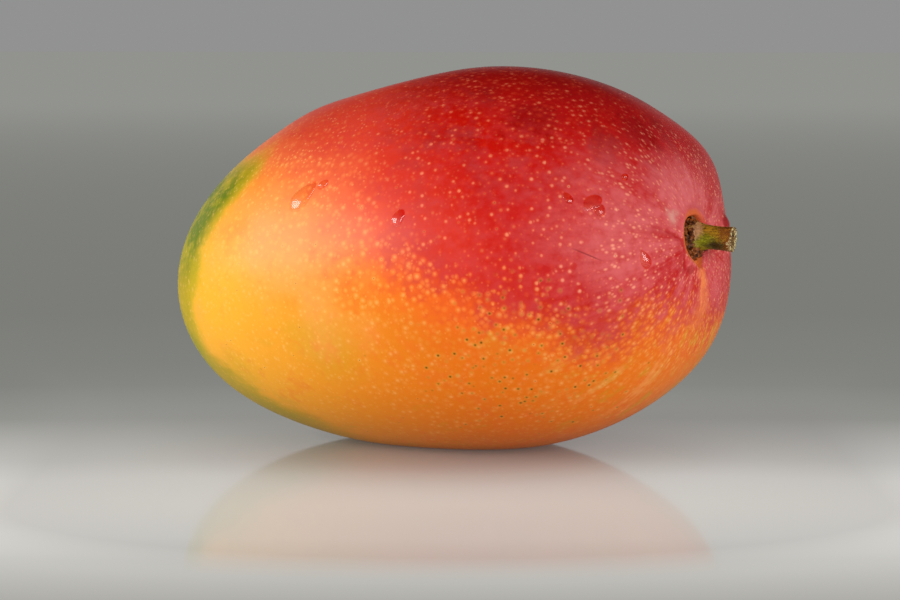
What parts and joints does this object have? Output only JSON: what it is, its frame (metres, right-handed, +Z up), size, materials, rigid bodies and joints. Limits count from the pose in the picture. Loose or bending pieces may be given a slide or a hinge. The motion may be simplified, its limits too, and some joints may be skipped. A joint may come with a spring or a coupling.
{
  "type": "mango",
  "caption": "Whole ripe mango with red, orange and green skin and a short stalk stub, lying on its side on a small flat spot.",
  "frame": {"origin": "on the flat spot the fruit rests on, straight below the middle of its body", "axes": "+X along the fruit's length to the stalk end, +Z up from the surface it rests on, +Y across its width"},
  "size_m": [0.1365, 0.1001, 0.0874],
  "materials": {
    "skin": "ripe fruit skin with a soft waxy sheen: crimson blush over orange and yellow, green at the tip, fine pale dots",
    "stalk": "dull olive green stalk with brown wet patches and a pale dry cut end",
    "crust": "dark brown dried crumbs of tissue, rough",
    "water": "clear water drops"
  },
  "bodies": {
    "root": {"fruit": "skin", "stalk": "stalk"}
  },
  "joints": []
}
